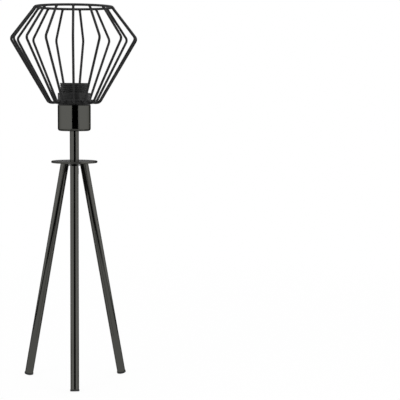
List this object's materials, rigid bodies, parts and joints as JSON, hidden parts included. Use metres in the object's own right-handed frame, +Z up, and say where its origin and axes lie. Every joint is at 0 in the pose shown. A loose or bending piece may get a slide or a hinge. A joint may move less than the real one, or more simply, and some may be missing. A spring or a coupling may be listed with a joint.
{
  "type": "bedside lamp",
  "caption": "Tripod bedside lamp with splayed tubular legs, short stem, screw lampholder in a round cup, and an open bent-wire cage shade clamped by a threaded ring.",
  "frame": {"origin": "centre of the lamp on the surface that it stands on, under the stem's axis", "axes": "+Z up along the stem and the cage; -Y is the front, where one leg and one cage wire point"},
  "size_m": [0.1793, 0.1785, 0.5362],
  "materials": {
    "black_chrome": "black chrome plated steel, polished",
    "black_paint": "satin black powder coat on bent steel wire",
    "black_plastic": "black heat-resistant moulded plastic, semi-matt",
    "foot_plastic": "black soft moulded plastic",
    "zinc_steel": "zinc plated steel",
    "nickel": "nickel plated",
    "brass": "plain brass",
    "porcelain": "glazed steatite"
  },
  "bodies": {
    "stand": {"tripod_plate": "black_chrome", "leg_front": "black_chrome", "leg_right": "black_chrome", "leg_left": "black_chrome", "leg_welds": "black_chrome", "foot_plug_front": "foot_plastic", "foot_plug_right": "foot_plastic", "foot_plug_left": "foot_plastic", "threaded_rod": "zinc_steel", "lower_lock_washer": "zinc_steel", "lower_nut": "zinc_steel", "cord_bush": "black_plastic", "stem_tube": "black_chrome", "cup": "black_chrome", "upper_lock_washer": "zinc_steel", "upper_nut": "zinc_steel", "lampholder_cap": "black_plastic", "lampholder_lock_screw": "zinc_steel", "lampholder_body": "black_plastic", "lampholder_insert": "porcelain", "screw_shell": "nickel", "shell_rivets": "brass", "contact_guide": "brass", "contact_spring": "zinc_steel", "live_terminal": "brass", "neutral_terminal": "brass", "terminal_screws": "zinc_steel"},
    "centre_contact": {"centre_contact": "nickel", "contact_clip": "zinc_steel"},
    "cage": {"cage_wires": "black_paint", "cage_top_ring": "black_paint", "cage_base_ring": "black_paint"},
    "shade_ring": {"shade_ring": "black_plastic"}
  },
  "joints": [
    {"name": "cage_lift", "type": "slide", "parent": "stand", "child": "cage", "axis": [0, 0, 1], "range_m": [0, 0.045]},
    {"name": "shade_ring_turn", "type": "hinge", "parent": "cage", "child": "shade_ring", "pos_m": [0, 0, 0.407], "axis": [0, 0, 1], "range_deg": [0, 3780]},
    {"name": "centre_contact_press", "type": "slide", "parent": "stand", "child": "centre_contact", "axis": [0, 0, -1], "range_m": [0, 0.0015], "stiffness_N_per_m": 2000, "springref_m": -0.001, "deforming": ["contact_spring"]}
  ]
}
